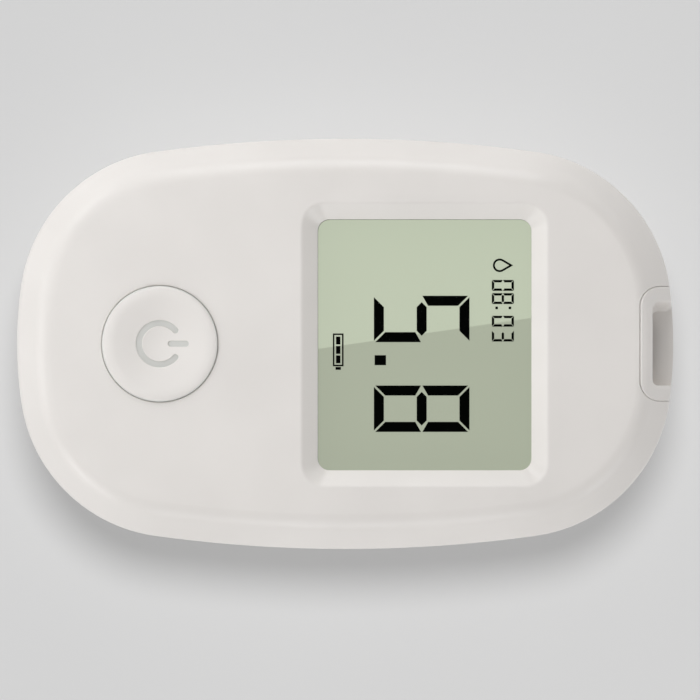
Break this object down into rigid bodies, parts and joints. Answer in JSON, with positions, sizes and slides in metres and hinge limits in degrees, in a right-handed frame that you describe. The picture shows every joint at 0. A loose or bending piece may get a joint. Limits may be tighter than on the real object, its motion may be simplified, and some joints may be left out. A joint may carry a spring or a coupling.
{
  "type": "blood glucose meter",
  "caption": "Flat pebble-shaped handheld blood glucose meter with a round button, a liquid crystal window, an end slot for test strips and a battery door in the back.",
  "frame": {"origin": "on the table, under the middle of the body", "axes": "+X along the length towards the test strip port, +Y across the body, +Z out of the display"},
  "size_m": [0.092, 0.0576, 0.0205],
  "materials": {
    "shell": "satin moulded",
    "button": "satin moulded",
    "lens": "polished clear plastic",
    "adhesive": "double-sided film",
    "polarizer": "film",
    "display_glass": "polished",
    "seal": "cured resin",
    "segments": "dark display segments",
    "reflector": "satin film",
    "holder": "moulded",
    "silicone": "striped silicone",
    "board": "solder resist",
    "black_plastic": "moulded",
    "steel": "nickel plated",
    "capacitor": "fired ceramic",
    "contact": "gold plated",
    "foot": "matt silicone"
  },
  "bodies": {
    "root": {"top_shell": "shell", "bottom_shell": "shell", "strip_port": "shell", "window_lens": "lens", "lens_adhesive": "adhesive", "lcd_polarizer": "polarizer", "lcd_front_glass": "display_glass", "lcd_rear_glass": "display_glass", "lcd_seal": "seal", "lcd_segments": "segments", "lcd_reflector": "reflector", "lcd_holder": "holder", "zebra_connector": "silicone", "circuit_board": "board", "switch_body": "black_plastic", "switch_cover": "steel", "microcontroller": "black_plastic", "memory_chip": "black_plastic", "crystal": "steel", "chip_capacitors": "capacitor", "buzzer": "black_plastic", "strip_connector": "black_plastic", "strip_contacts": "contact", "coin_cell_a": "steel", "coin_cell_b": "steel", "battery_negative_springs": "contact", "battery_positive_contacts": "contact", "case_screws": "steel", "board_screws": "steel", "foot_pads": "foot"},
    "button": {"button_cap": "button"},
    "plunger": {"switch_plunger": "black_plastic"},
    "door": {"battery_door": "shell"}
  },
  "joints": [
    {"name": "button_press", "type": "slide", "parent": "root", "child": "button", "axis": [0, 0, -1], "range_m": [0, 0.0005], "stiffness_N_per_m": 600, "springref_m": -0.0005},
    {"name": "plunger_press", "type": "slide", "parent": "root", "child": "plunger", "axis": [0, 0, -1], "range_m": [0, 0.0005]},
    {"name": "door_swing", "type": "hinge", "parent": "root", "child": "door", "pos_m": [0.0232, 0, 0.0006], "axis": [0, -1, 0], "range_deg": [0, 75]}
  ],
  "couplings": [
    {"joint": "plunger_press", "follows": "button_press", "ratio": 1}
  ]
}
